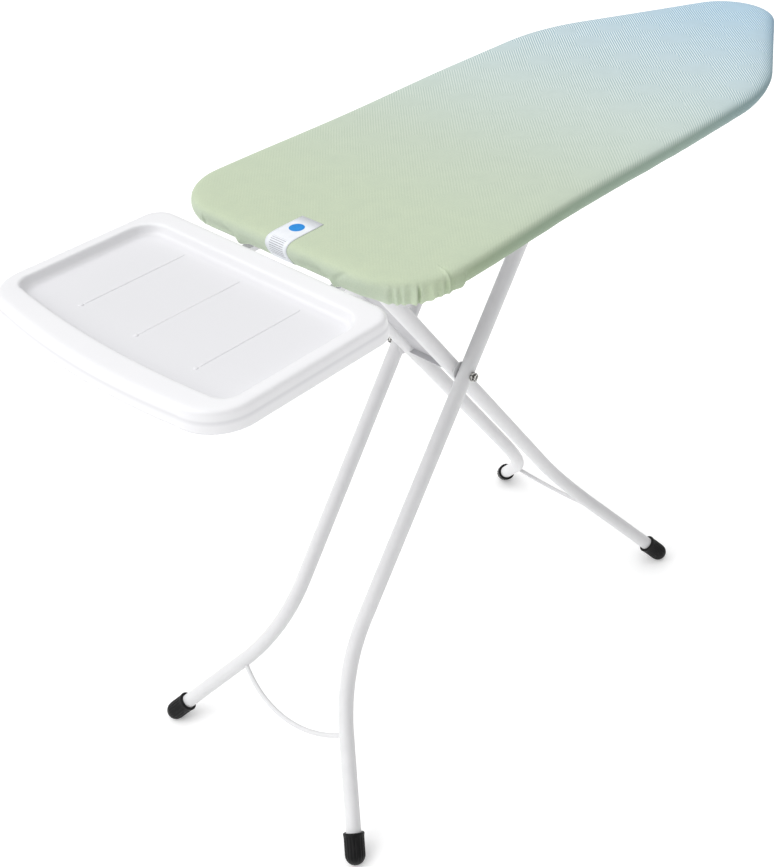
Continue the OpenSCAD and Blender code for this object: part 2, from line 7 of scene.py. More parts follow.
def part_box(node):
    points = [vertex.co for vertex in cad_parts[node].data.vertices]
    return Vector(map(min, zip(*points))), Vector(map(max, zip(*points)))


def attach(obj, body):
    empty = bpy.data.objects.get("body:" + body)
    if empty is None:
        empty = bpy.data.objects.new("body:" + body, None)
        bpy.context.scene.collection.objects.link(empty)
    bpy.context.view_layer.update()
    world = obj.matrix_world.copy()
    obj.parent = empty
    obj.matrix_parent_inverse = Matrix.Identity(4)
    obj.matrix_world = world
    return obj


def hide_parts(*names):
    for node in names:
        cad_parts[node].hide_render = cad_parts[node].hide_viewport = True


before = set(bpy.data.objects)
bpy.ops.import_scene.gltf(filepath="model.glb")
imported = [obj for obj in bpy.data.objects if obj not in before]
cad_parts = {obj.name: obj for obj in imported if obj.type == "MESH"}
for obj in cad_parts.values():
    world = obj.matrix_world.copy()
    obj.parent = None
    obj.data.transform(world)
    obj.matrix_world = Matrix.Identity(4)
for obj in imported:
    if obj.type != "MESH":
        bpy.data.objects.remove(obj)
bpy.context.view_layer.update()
MM = 0.001

# ---------- the frame's own sizes, in millimetres ----------

LO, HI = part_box("cover")
BOARD_X0, BOARD_X1, TOP_Z = LO.x / MM, HI.x / MM, HI.z / MM
HALF_W = HI.y / MM
CORNER_R, WAIST, NOSE_R, TAPER, SHOULDER_R = 100, 5, 89, math.radians(28.1), 368
WAIST_END = 640
PAD_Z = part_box("foam_pad")[0].z / MM
TRAY_LO, TRAY_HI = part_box("tray_shell")
TRAY_X0, TRAY_X1 = TRAY_LO.x / MM, TRAY_HI.x / MM
TRAY_HALF, TRAY_TOP, TRAY_BOTTOM = TRAY_HI.y / MM, TRAY_HI.z / MM, TRAY_LO.z / MM


# ---------- mesh helpers ----------

def add_mesh(name, verts, faces, uv=None, weld=False):
    """A new smooth-shaded object from points in millimetres; weld joins points that fall together."""
    mesh = bpy.data.meshes.new(name)
    mesh.from_pydata([(x * MM, y * MM, z * MM) for x, y, z in verts], [], faces)
    mesh.validate()
    if uv is not None:
        layer = mesh.uv_layers.new(name="Flat")
        for loop in mesh.loops:
            u, v = uv[loop.vertex_index]
            layer.data[loop.index].uv = (u * MM, v * MM)
    if weld:
        shape = bmesh.new()
        shape.from_mesh(mesh)
        bmesh.ops.remove_doubles(shape, verts=shape.verts, dist=0.01 * MM)
        shape.to_mesh(mesh)
        shape.free()
    mesh.shade_smooth()
    obj = bpy.data.objects.new(name, mesh)
    bpy.context.scene.collection.objects.link(obj)
    return obj


def dress(obj, material):
    obj.data.materials.clear()
    obj.data.materials.append(material)


def smoothstep(a, b, x):
    t = min(1.0, max(0.0, (x - a) / (b - a)))
    return t * t * (3 - 2 * t)


def rough(x, y=0.0, z=0.0):
    """Smooth repeatable noise from -1 to 1."""
    return noise.noise(Vector((x, y, z)))


def curve(knots, at):
    """A value that eases from knot to knot."""
    for (a, p), (b, q) in zip(knots, knots[1:]):
        if at <= b:
            return p + (q - p) * smoothstep(a, b, at)
    return knots[-1][1]


def resample(points, count, fine):
    """The polyline at count + 1 steps, closer where fine(point) is larger, with both ends kept."""
    total = [0.0]
    for p, q in zip(points, points[1:]):
        total.append(total[-1] + math.dist(p, q) * fine(p))
    out, k = [], 0
    for i in range(count + 1):
        s = total[-1] * i / count
        while k < len(points) - 2 and total[k + 1] < s:
            k += 1
        span = total[k + 1] - total[k]
        t = (s - total[k]) / span if span else 0.0
        out.append(tuple(a + (b - a) * t for a, b in zip(points[k], points[k + 1])))
    return out


# ---------- outlines ----------

def arc(cx, cy, r, a0, a1, steps):
    angles = [a0 + (a1 - a0) * i / steps for i in range(steps + 1)]
    return [(cx + r * math.cos(a), cy + r * math.sin(a)) for a in angles]


def board_half():
    """Half of the board's outline on the +Y side, from the wide end's middle to the nose."""
    x0, x1 = BOARD_X0 + CORNER_R, BOARD_X0 + WAIST_END
    rise = NOSE_R - SHOULDER_R - math.cos(TAPER) * (HALF_W - SHOULDER_R)
    shoulder_x = BOARD_X1 - NOSE_R + rise / math.sin(TAPER)
    quarter = math.pi / 2
    points = [(BOARD_X0, 0.0)] + arc(x0, HALF_W - CORNER_R, CORNER_R, math.pi, quarter, 180)
    side_steps = 360
    for i in range(1, side_steps):
        x = x0 + (x1 - x0) * i / side_steps
        points.append((x, HALF_W - WAIST * math.sin(math.pi * i / side_steps) ** 2))
    points += arc(shoulder_x, HALF_W - SHOULDER_R, SHOULDER_R, quarter, quarter - TAPER, 120)
    points += arc(BOARD_X1 - NOSE_R, 0, NOSE_R, quarter - TAPER, 0, 120)
    return points


def closed_outline(half, count):
    """A closed loop of 2 * count points with outward normals, closer together at the wide end."""
    points = resample(half, count, lambda p: WIDE_END_FINER if p[0] < BOARD_X0 + WIDE_END_REACH else 1.0)
    loop = [(x, -y) for x, y in points[:0:-1]] + points[:-1]
    n = len(loop)
    normals = []
    for i in range(n):
        (ax, ay), (bx, by) = loop[i - 1], loop[(i + 1) % n]
        tx, ty = bx - ax, by - ay
        size = math.hypot(tx, ty)
        normals.append((-ty / size, tx / size))
    return loop, normals


COLUMNS = 640
WIDE_END_FINER, WIDE_END_REACH = 2.6, 150
RIM_LOOP, RIM_NORMALS = closed_outline(board_half(), COLUMNS)
RING = len(RIM_LOOP)
SPINE = (BOARD_X0 + 150, BOARD_X1 - 110)


def towards_spine(point, share):
    """The point moved a share of the way to the board's middle line."""
    x, y = point
    sx = min(SPINE[1], max(SPINE[0], x))
    return x + (sx - x) * share, y * (1 - share)


def lofted(rings):
    """Faces between rings that have the same number of points."""
    n = len(rings[0])
    verts = [p for ring in rings for p in ring]
    faces = []
    for k in range(len(rings) - 1):
        a, b = k * n, (k + 1) * n
        for i in range(n):
            j = (i + 1) % n
            faces.append((a + i, a + j, b + j, b + i))
    return verts, faces


# ---------- the fabric cover ----------

# The cover's edge in section, as inset from the outline and height from the top: over the edge, down the
# band, and round the hem to its inner side. The label runs down to row FOLD_BACK of it.
SECTION = [(70, 0.0), (50, -0.04), (36, -0.1), (26, -0.22), (19, -0.45), (14, -0.8), (10.0, -1.35),
           (6.6, -2.3), (4.1, -3.6), (2.4, -5.4), (1.1, -7.8), (0.4, -10.6), (0.1, -13.5), (0.1, -16.2),
           (0.5, -18.4), (1.1, -20.5), (1.9, -22.5), (2.8, -24.4), (3.8, -26.2), (5.0, -27.7), (6.6, -28.6),
           (8.6, -28.8), (10.8, -28.4), (12.8, -28.2)]
INNER_SHARES = (1.0, 0.86, 0.72, 0.58, 0.45, 0.33, 0.22, 0.12, 0.05)
FOLD_BACK = 20
# No point of the band beside the steel rim goes further in than this
RIM_CLEAR, RIM_FROM, RIM_TO = 4.3, -6, -27

# The near wide corner, by angle round it: ridges and valleys of the band (FOLDS), a crease that runs up over
# the edge (CREASE), and how far the hem hangs down (SAG)
FOLDS = [(22, 0), (30.3, 1.4), (33.5, -1.4), (36.8, 1.5), (39.2, -1.4), (42, 1.0), (45.8, -1.7),
         (51.2, 2.6), (52.8, -3.0), (54.6, 1.4), (59.5, -1.2), (64, 1.1), (68, -1.6), (71.5, 0.5),
         (74.3, -1.3), (76.9, 3.2), (78.2, -3.0), (84, -0.6), (91.5, 1.7), (94.5, -0.9), (100, 0)]
FOLD_SIZE, SAG_FROM, CORNER_REACH = 1.4, -15, 170
CREASE = [(74.2, 0), (76.9, 1.9), (78.0, -1.6), (81.5, 0)]
SAG = [(-15, 2.4), (16, 3.0), (25.6, 5.0), (31, 6.8), (38, 7.8), (46, 8.1), (54, 7.9), (60, 6.8), (67, 5.3),
       (73, 4.4), (80.7, 3.0), (89.3, 2.8), (93, 1.2), (98, 0)]

# The wide end. Each low point of the hem has its place, how far it hangs, and its slope to either side.
# Each tuck has the line where the band starts to go in, the place where it comes out again, and its depth.
# A line is height and place across the board. END_VALLEY is the line of one narrow crease.
LOW_POINTS = [(78, 4.5, 5, 12), (-103, 6.4, 5, 10)]
TUCKS = [([(0, 148), (-3, 128), (-11, 103), (-19, 90), (-29, 82)], 172, 4.2),
         ([(0, -44), (-5, -66), (-17, -86), (-29, -94)], -40, 3.4)]
END_VALLEY = [(0, -150), (-5, -124), (-19, -108), (-29, -107)]


def corner_angle(x, y):
    """Degrees round the near wide corner, from the wide end to the near side."""
    return -math.degrees(math.atan2(HALF_W - CORNER_R + y, BOARD_X0 + CORNER_R - x))


def pleat(s, seed):
    """Folds of uneven width: broad rounded ridges with tight valleys."""
    phase = s / 13.0 + 0.9 * rough(s / 31.0, seed) + 0.4 * rough(s / 11.0, seed + 5)
    ridge = abs(math.sin(math.pi * phase)) ** 0.7
    return (ridge - 0.62) * (0.75 + 0.5 * rough(s / 24.0, seed + 9))


def line_at(line, drop):
    """Where a crease lies at one height."""
    return curve([(-d, y) for d, y in line], -drop)


def end_shape(y, drop):
    """The wide end's band: how far it comes out, and how much lower it hangs."""
    depth = smoothstep(-4.0, -26.0, drop)
    out = 0.0
    for line, far, size in TUCKS:
        edge = line_at(line, drop)
        out -= size * depth * smoothstep(0, 5, y - edge) * smoothstep(0, 14, far - y)
    valley = (y - line_at(END_VALLEY, drop)) / 5.5
    out -= 2.2 * smoothstep(-2, -9, drop) * math.exp(-valley * valley)
    low = 2.4 * smoothstep(-112, -135, y)
    for at, size, steep, easy in LOW_POINTS:
        away = (y - at) / (steep if y > at else easy)
        low += size * math.exp(-away * away)
        out += 1.8 * depth * math.exp(-away * away)
    return out, low


def swell(x, y):
    """The padded top: a low crown with soft unevenness."""
    edge = 1 - (abs(y) / HALF_W) ** 2
    return 0.5 * edge + 0.35 * rough(x / 170.0, y / 120.0, 2.0) + 0.12 * rough(x / 45.0, y / 60.0, 8.0)


def nose_roll(x, inset):
    """How much further the padded edge rolls over towards the nose."""
    return 3.6 * smoothstep(BOARD_X0 + 450, BOARD_X1 - 200, x) * smoothstep(36, 5, inset)


def band_point(i, s, inset, drop):
    """One point of the cover's edge: out along the outline's normal, and down."""
    x, y = RIM_LOOP[i]
    nx, ny = RIM_NORMALS[i]
    depth = smoothstep(-3.0, -24.0, drop)
    far_corner = math.exp(-((math.hypot(x - (BOARD_X0 + 34), y - (HALF_W - 34)) / 58) ** 2))
    nose = smoothstep(BOARD_X1 - 120, BOARD_X1 - 40, x)
    gather = 0.35 * far_corner + 0.4 * nose
    out = depth * (2.6 * gather * pleat(s, 3.0) + 0.5 * rough(s / 55.0, 1.0) + 0.25 * rough(s / 17.0, 7.0))
    low = 0.8 * far_corner + 0.6 * nose + 0.7 * rough(s / 42.0, 4.0) + 1.0 * gather * rough(s / 12.0, 6.0)
    lift = -nose_roll(x, inset) * (1 - depth)
    angle = corner_angle(x, y)
    if y < 0 and x < BOARD_X0 + CORNER_REACH:
        out += FOLD_SIZE * smoothstep(-4.0, -17.0, drop) * curve(FOLDS, angle)
        low += curve(SAG, angle) if angle > SAG_FROM else 0.0
        lift += 1.5 * smoothstep(26, 6, inset) * curve(CREASE, angle)
    if x < BOARD_X0 + 1:
        more_out, more_low = end_shape(y, drop)
        out += more_out
        low += more_low * (1 if angle < SAG_FROM or y > 0 else 0)
    d = inset - out
    if RIM_TO < drop < RIM_FROM:
        d = min(d, RIM_CLEAR)
    return x - nx * d, y - ny * d, drop - depth ** 2 * low + lift


def cover_rings():
    """The cover's rings from its middle to its hem, and the same points on the flat cloth."""
    lengths, along = [0.0], [0.0]
    for (d0, z0), (d1, z1) in zip(SECTION, SECTION[1:]):
        lengths.append(lengths[-1] + math.hypot(d1 - d0, z1 - z0))
    for p, q in zip(RIM_LOOP, RIM_LOOP[1:]):
        along.append(along[-1] + math.dist(p, q))
    edge = SECTION[0][0]
    rings, flats = [], []
    for share in INNER_SHARES:
        ring, flat = [], []
        for i in range(RING):
            nx, ny = RIM_NORMALS[i]
            x, y = RIM_LOOP[i][0] - nx * edge, RIM_LOOP[i][1] - ny * edge
            x, y = towards_spine((x, y), share)
            ring.append((x, y, TOP_Z + swell(x, y)))
            flat.append((x, y))
        rings.append(ring)
        flats.append(flat)
    for k, (inset, drop) in enumerate(SECTION):
        ring, flat = [], []
        reach = lengths[k] - edge
        for i in range(RING):
            x, y, z = band_point(i, along[i], inset, drop)
            ring.append((x, y, TOP_Z + z + swell(x, y) * smoothstep(-4, 0, drop)))
            nx, ny = RIM_NORMALS[i]
            flat.append((RIM_LOOP[i][0] + nx * reach, RIM_LOOP[i][1] + ny * reach))
        rings.append(ring)
        flats.append(flat)
    return rings, flats


rings, flats = cover_rings()
verts, faces = lofted(rings)
cover = add_mesh("fabric_cover", verts, faces, uv=[p for ring in flats for p in ring], weld=True)
thick = cover.modifiers.new("Cloth", "SOLIDIFY")
thick.thickness = 1.1 * MM
thick.offset = -1
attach(cover, "board")
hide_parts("cover")


# ---------- the foam pad under it ----------

def pad_piece():
    """Foam and felt that fills the cover: a flat underside and a rolled upper edge."""
    low, high, flat = PAD_Z, TOP_Z - 2.6, 60
    profile = [(flat, high - 0.3), (34, high - 0.4), (18, high - 0.9), (11, high - 1.6), (7.4, high - 2.7),
               (4.9, high - 4.2), (4.3, high - 5.2), (4.6, low + 0.7), (6.2, low), (14, low), (34, low),
               (flat, low)]
    shares = (1.0, 0.7, 0.4, 0.15)
    outline = [(x, y, nx, ny) for (x, y), (nx, ny) in zip(RIM_LOOP, RIM_NORMALS)]

    def inner(share, z):
        return [towards_spine((x - nx * flat, y - ny * flat), share) + (z,) for x, y, nx, ny in outline]

    rings = [inner(share, high - 0.3) for share in shares]
    for inset, z in profile:
        rings.append([(x - nx * inset, y - ny * inset, min(z, max(z - nose_roll(x, inset), low + 1.0)))
                      for x, y, nx, ny in outline])
    rings += [inner(share, low) for share in reversed(shares)]
    verts, faces = lofted(rings)
    return add_mesh("foam_layer", verts, faces, weld=True)


foam = pad_piece()
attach(foam, "board")
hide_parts("foam_pad")


# ---------- the steam tray ----------

TRAY_BOW, TRAY_R_OUT, TRAY_R_IN = 13, 61, 33
LIP_OUT, LIP_IN, LIP_SIDE = 41, 37, 23
RECESS_DEPTH, RECESS_R_OUT, RECESS_R_IN = 15, 24, 34
RECESS_X0, RECESS_X1 = TRAY_X0 + LIP_OUT, TRAY_X1 - LIP_IN


def half_tray(x0, x1, half, r_in, r_out, bow, d):
    """Half of a tray outline, drawn in by d: bowed outer end, corner, side, corner, straight inner end."""
    flat = half - r_out
    bow_r = (flat * flat + bow * bow) / (2 * bow)
    points = []
    for i in range(20):
        y = flat * i / 20
        points.append((x0 + d + bow_r - math.sqrt(bow_r ** 2 - y * y), y))
    for i in range(15):
        a = math.pi / 2 * i / 15
        r = r_out - d
        points.append((x0 + bow + r_out - r * math.cos(a), half - r_out + r * math.sin(a)))
    for i in range(20):
        x = x0 + bow + r_out + (x1 - r_in - x0 - bow - r_out) * i / 20
        points.append((x, half - d))
    for i in range(13):
        a = math.pi / 2 * (1 - i / 13)
        r = r_in - d
        points.append((x1 - r_in + r * math.cos(a), half - r_in + r * math.sin(a)))
    for i in range(15):
        points.append((x1 - d, (half - r_in) * (1 - i / 14)))
    return points


def outer_ring(d):
    half = half_tray(TRAY_X0, TRAY_X1, TRAY_HALF, TRAY_R_IN, TRAY_R_OUT, TRAY_BOW, d)
    return half + [(x, -y) for x, y in half[-2:0:-1]]


def recess_ring(d):
    half = half_tray(RECESS_X0, RECESS_X1, TRAY_HALF - LIP_SIDE, RECESS_R_IN, RECESS_R_OUT, TRAY_BOW * 0.9, d)
    return half + [(x, -y) for x, y in half[-2:0:-1]]


def between(a, b, t):
    return [(p[0] + (q[0] - p[0]) * t, p[1] + (q[1] - p[1]) * t) for p, q in zip(a, b)]


def tray_rings():
    """The tray's upper surface: up its skirt, over the flat lip, down the recess and across the floor."""
    rings = []

    def put(loop, z):
        rings.append([(x, y, z) for x, y in loop])

    top = TRAY_TOP
    for d, z in ((0.0, TRAY_BOTTOM), (0.05, TRAY_BOTTOM + 2), (0.35, TRAY_BOTTOM + 8), (0.8, top - 13.5),
                 (1.1, top - 9.0), (1.5, top - 6.2), (2.2, top - 4.1), (3.4, top - 2.4), (5.0, top - 1.2),
                 (7.2, top - 0.45)):
        put(outer_ring(d), z)
    a, b = outer_ring(9.5), recess_ring(-4.6)
    for t, z in ((0.0, -0.12), (0.12, 0.0), (0.5, 0.0), (0.85, 0.0), (1.0, -0.06)):
        put(between(a, b, t), top + z)
    for d, z in ((-3.0, -0.3), (-1.6, -0.9), (-0.5, -2.0), (0.3, -3.6), (1.2, -6.0), (2.2, -8.8),
                 (3.4, -11.2), (5.0, -13.2), (7.4, -14.5), (10.0, -14.95), (13.0, -RECESS_DEPTH)):
        put(recess_ring(d), top + z)
    base = recess_ring(13.0)
    mid, floor_dip = (RECESS_X0 + RECESS_X1) / 2, 0.25
    for t in (0.12, 0.3, 0.5, 0.7, 0.9, 1.0):
        ring = []
        for x, y in base:
            sx = min(mid + 50, max(mid - 50, x))
            ring.append((x + (sx - x) * t, y * (1 - t),
                         top - RECESS_DEPTH - floor_dip * math.sin(math.pi * t)))
        rings.append(ring)
    return rings


verts, faces = lofted(tray_rings())
tray = add_mesh("steam_tray", verts, [tuple(reversed(f)) for f in faces], weld=True)
shell = tray.modifiers.new("Wall", "SOLIDIFY")
shell.thickness = 2.8 * MM
shell.offset = -1
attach(tray, "board")
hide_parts("tray_shell")


def rounded_bar(x0, x1, y, z, half, height, steps=10, along=24, sunk=0.6):
    """A low bar with a half-round section and round ends, sunk a little into the floor under it."""
    verts, faces = [], []
    for i in range(along + 1):
        x = x0 + (x1 - x0) * i / along
        near_end = min(x - x0, x1 - x)
        w = half * math.sqrt(max(0.02, 1 - (1 - min(1.0, near_end / half)) ** 2))
        for k in range(steps + 1):
            a = math.pi * k / steps
            verts.append((x, y + w * math.cos(a), z - sunk + (height + sunk) * (w / half) * math.sin(a)))
    n = steps + 1
    for i in range(along):
        for k in range(n):
            j = (k + 1) % n
            faces.append((i * n + k, (i + 1) * n + k, (i + 1) * n + j, i * n + j))
    faces.append(tuple(range(n)))
    faces.append(tuple(reversed(range(along * n, along * n + n))))
    return verts, faces


def dome(x, y, z, r, height, around=24, up=6, sunk=0.5):
    """A low round dot, sunk a little into the floor under it."""
    verts, faces = [], []
    for k in range(up):
        a = math.pi / 2 * k / up
        w = r * math.cos(a)
        for i in range(around):
            t = 2 * math.pi * i / around
            verts.append((x + w * math.cos(t), y + w * math.sin(t), z - sunk + (height + sunk) * math.sin(a)))
    verts.append((x, y, z + height))
    for k in range(up - 1):
        for i in range(around):
            j = (i + 1) % around
            faces.append((k * around + i, k * around + j, (k + 1) * around + j, (k + 1) * around + i))
    for i in range(around):
        faces.append(((up - 1) * around + i, (up - 1) * around + (i + 1) % around, len(verts) - 1))
    faces.append(tuple(reversed(range(around))))
    return verts, faces


def joined(name, parts):
    verts, faces = [], []
    for v, f in parts:
        base = len(verts)
        verts += v
        faces += [tuple(base + k for k in face) for face in f]
    return add_mesh(name, verts, faces)


RIB_FROM, RIB_TO, RIB_HALF, RIB_HEIGHT = TRAY_X0 + 89, TRAY_X0 + 260, 2.3, 0.8
RIB_BASE, DOT_R, DOT_HEIGHT = TRAY_TOP - RECESS_DEPTH - 0.1, 3.6, 1.2
rib_parts = []
for rib_y in (-112, 0, 112):
    rib_parts.append(rounded_bar(RIB_FROM, RIB_TO, rib_y, RIB_BASE, RIB_HALF, RIB_HEIGHT))
    rib_parts.append(dome(RIB_FROM, rib_y, RIB_BASE, DOT_R, DOT_HEIGHT))
ribs = joined("tray_ribs", rib_parts)
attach(ribs, "board")


# ---------- the foot caps, placed by the legs' own sizes ----------

# A leg's length below and above the crossing, the bend and slope that turn its foot outward, the inner legs'
# top pivot, and the height of the foot's middle
LEG_LOW, LEG_UP, LEG_ANGLE = 774, 359.5, math.radians(53.72)
FLARE_DROP, BEND_R, FLARE_RUN, FLARE_FALL = 241, 336, 336, 527
PIVOT_INSET, FOOT_Z = 89.5, 16.5
FLARE = math.atan2(FLARE_RUN, FLARE_FALL)
TANGENT = BEND_R * math.tan(FLARE / 2)
FLARE_LEN = FLARE_DROP / math.cos(FLARE) - TANGENT
CROSS_X = BOARD_X0 + PIVOT_INSET + LEG_UP * math.cos(LEG_ANGLE)
CROSS_Z = FOOT_Z + LEG_LOW * math.sin(LEG_ANGLE)
LANES = {"outer": 71.5, "inner": 44.8}
LEAN = {"outer": 1, "inner": -1}


def leg_point(kind, side, across_x, y, along):
    """The world point for a leg's own place: across the leg, its lane, and up it from the crossing."""
    c, s, lean = math.cos(LEG_ANGLE), math.sin(LEG_ANGLE), LEAN[kind]
    return Vector((CROSS_X + lean * c * along + s * across_x, side * y,
                   CROSS_Z + s * along - lean * c * across_x))


def foot_frame(kind, side):
    """The centre of the foot's rounded tip, the tube's direction up from it, and two directions across."""
    lane = LANES[kind]
    y1 = lane + BEND_R * (1 - math.cos(FLARE)) + FLARE_LEN * math.sin(FLARE)
    z1 = -LEG_LOW + FLARE_DROP + TANGENT - BEND_R * math.sin(FLARE) - FLARE_LEN * math.cos(FLARE)
    tip = leg_point(kind, side, 0, y1, z1)
    up = (leg_point(kind, side, 0, y1 - math.sin(FLARE), z1 + math.cos(FLARE)) - tip).normalized()
    across_dir = (leg_point(kind, side, 1, y1, z1) - tip).normalized()
    return tip, up, across_dir, up.cross(across_dir)


# The cap's radius and height up the tube, and how much of the flutes shows there: from inside the mouth,
# over the collar, down the fluted wall and round the tip. FOOT_L is the mouth's height.
FOOT_L = 34.0
CAP_PROFILE = [(12.6, FOOT_L - 7.0, 0), (12.6, FOOT_L - 0.9, 0), (13.2, FOOT_L, 0), (16.6, FOOT_L, 0),
               (17.4, FOOT_L - 0.7, 0), (17.6, FOOT_L - 2.2, 0), (17.3, FOOT_L - 4.0, 0.1),
               (16.9, FOOT_L - 6.5, 0.6), (16.8, FOOT_L - 10, 1), (16.8, FOOT_L - 16, 1),
               (16.8, FOOT_L - 22, 1), (16.8, 5, 1), (16.8, 0, 1), (16.6, -2.6, 1), (15.9, -5.7, 0.8),
               (14.6, -8.6, 0.45), (12.6, -11.4, 0.15), (9.9, -13.8, 0), (6.6, -15.6, 0), (3.2, -16.6, 0),
               (0.6, -16.9, 0)]
FLUTES, FLUTE_STEPS, FLUTE_DEPTH = 18, 8, 1.15


def foot_cap(kind, side):
    """A fluted rubber cap on the end of one leg, flattened where it meets the floor."""
    where = "near" if side < 0 else "far"
    tip, up, ax, ay = foot_frame(kind, side)
    n = FLUTES * FLUTE_STEPS
    verts, faces = [], []
    for r, h, groove in CAP_PROFILE:
        for i in range(n):
            t = 2 * math.pi * i / n
            flute = abs(math.sin(FLUTES * t / 2)) ** 0.6
            rr = r - groove * FLUTE_DEPTH * (1 - flute)
            p = tip + up * h + (ax * math.cos(t) + ay * math.sin(t)) * rr
            verts.append((p.x, p.y, max(0.0, p.z)))
    rows = len(CAP_PROFILE)
    for k in range(rows - 1):
        for i in range(n):
            j = (i + 1) % n
            faces.append((k * n + i, (k + 1) * n + i, (k + 1) * n + j, k * n + j))
    faces.append(tuple(range((rows - 1) * n, rows * n)))
    cap = add_mesh(f"foot_{kind}_{where}", verts, faces)
    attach(cap, f"{kind}_legs")
    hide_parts(f"{kind}_foot_{where}")
    return cap


feet = [foot_cap(kind, side) for kind in ("outer", "inner") for side in (-1, 1)]


# ---------- the label sewn on the wide end ----------

LABEL_HALF, LABEL_LIFT, LABEL_WALL, LABEL_SKEW = 20.5, 0.45, 0.35, 9


def label_piece():
    """A tape that follows the cover from the top, over the edge and down to the hem, and its length."""
    half, lift = LABEL_HALF, LABEL_LIFT
    wide = [i for i in range(RING) if RIM_LOOP[i][0] < BOARD_X0 + 0.5 and abs(RIM_LOOP[i][1]) < 60]
    wide.sort(key=lambda i: RIM_LOOP[i][1])
    steps = 14

    def at(ring, y):
        for a, b in zip(wide, wide[1:]):
            ya, yb = RIM_LOOP[a][1], RIM_LOOP[b][1]
            if ya <= y <= yb:
                t = (y - ya) / (yb - ya)
                return [p + (q - p) * t for p, q in zip(ring[a], ring[b])]
        raise ValueError("label wider than the flat of the wide end")

    top_rings = rings[len(INNER_SHARES):]
    rows = []
    for k in range(FOLD_BACK + 1):
        skew = LABEL_SKEW * smoothstep(-9, -28, SECTION[k][1])
        rows.append([at(top_rings[k], -half - skew + 2 * half * j / steps) for j in range(steps + 1)])
    verts, uv, faces = [], [], []
    down = 0.0
    for k, row in enumerate(rows):
        if k:
            down += math.dist(rows[k - 1][steps // 2], row[steps // 2])
        a, b = rows[max(0, k - 1)][steps // 2], rows[min(len(rows) - 1, k + 1)][steps // 2]
        tx, tz = b[0] - a[0], b[2] - a[2]
        size = math.hypot(tx, tz)
        for j, p in enumerate(row):
            verts.append((p[0] + tz / size * lift, p[1], p[2] - tx / size * lift))
            uv.append((down, -half + 2 * half * j / steps))
    n = steps + 1
    for k in range(len(rows) - 1):
        for j in range(steps):
            faces.append((k * n + j, k * n + j + 1, (k + 1) * n + j + 1, (k + 1) * n + j))
    tape = add_mesh("label_tape", verts, faces, uv=uv)
    wall = tape.modifiers.new("Tape", "SOLIDIFY")
    wall.thickness = LABEL_WALL * MM
    wall.offset = 0
    return tape, down


label, label_length = label_piece()
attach(label, "board")
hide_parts("size_label")


# ---------- materials ----------

class Net:
    """A principled material and short ways to add nodes to it."""

    def __init__(self, name):
        self.material = bpy.data.materials.new(name)
        self.material.use_nodes = True
        self.tree = self.material.node_tree
        self.tree.nodes.clear()
        out = self.tree.nodes.new("ShaderNodeOutputMaterial")
        self.shader = self.tree.nodes.new("ShaderNodeBsdfPrincipled")
        self.tree.links.new(self.shader.outputs[0], out.inputs[0])
        self.coords = self.tree.nodes.new("ShaderNodeTexCoord")
        self.place = self.coords.outputs["Object"]

    def put(self, socket, value):
        if isinstance(value, bpy.types.NodeSocket):
            self.tree.links.new(value, socket)
        elif value is not None:
            socket.default_value = value

    def set(self, **values):
        for key, value in values.items():
            self.put(self.shader.inputs[key.replace("_", " ")], value)

    def math(self, op, a, b=None, c=None, clamp=False):
        node = self.tree.nodes.new("ShaderNodeMath")
        node.operation = op
        node.use_clamp = clamp
        for socket, value in zip(node.inputs, (a, b, c)):
            self.put(socket, value)
        return node.outputs[0]

    def mix(self, share, a, b):
        node = self.tree.nodes.new("ShaderNodeMix")
        node.data_type = "RGBA"
        self.put(node.inputs[0], share)
        self.put(node.inputs[6], a)
        self.put(node.inputs[7], b)
        return node.outputs[2]

    def ramp(self, value, stops):
        node = self.tree.nodes.new("ShaderNodeValToRGB")
        band = node.color_ramp
        while len(band.elements) < len(stops):
            band.elements.new(0.5)
        for element, (at, colour) in zip(band.elements, stops):
            element.position = at
            element.color = colour
        self.put(node.inputs[0], value)
        return node.outputs[0]

    def noise(self, scale, detail=2.0, roughness=0.5, vector=None):
        node = self.tree.nodes.new("ShaderNodeTexNoise")
        self.put(node.inputs["Vector"], vector or self.place)
        node.inputs["Scale"].default_value = scale
        node.inputs["Detail"].default_value = detail
        node.inputs["Roughness"].default_value = roughness
        return node.outputs[0]

    def cells(self, scale):
        node = self.tree.nodes.new("ShaderNodeTexVoronoi")
        self.put(node.inputs["Vector"], self.place)
        node.inputs["Scale"].default_value = scale
        return node.outputs[0]

    def split(self, vector=None):
        node = self.tree.nodes.new("ShaderNodeSeparateXYZ")
        self.put(node.inputs[0], vector or self.place)
        return node.outputs

    def join(self, x, y, z=0.0):
        node = self.tree.nodes.new("ShaderNodeCombineXYZ")
        for socket, value in zip(node.inputs, (x, y, z)):
            self.put(socket, value)
        return node.outputs[0]

    def between(self, value, a, b, lo=0.0, hi=1.0):
        node = self.tree.nodes.new("ShaderNodeMapRange")
        for socket, v in zip(node.inputs, (value, a, b, lo, hi)):
            self.put(socket, v)
        return node.outputs[0]

    def bump(self, height, strength, distance, under=None):
        node = self.tree.nodes.new("ShaderNodeBump")
        node.inputs["Strength"].default_value = strength
        node.inputs["Distance"].default_value = distance
        self.put(node.inputs["Height"], height)
        if under is not None:
            self.put(node.inputs["Normal"], under)
        return node.outputs[0]

    def wave(self, value, pitch):
        """0 to 1 and back, once per pitch."""
        turn = self.math("MULTIPLY", value, 2 * math.pi / pitch)
        return self.math("MULTIPLY_ADD", self.math("SINE", turn), 0.5, 0.5)


def srgb(r, g, b):
    def lin(c):
        c /= 255
        return c / 12.92 if c <= 0.04045 else ((c + 0.055) / 1.055) ** 2.4
    return (lin(r), lin(g), lin(b), 1.0)


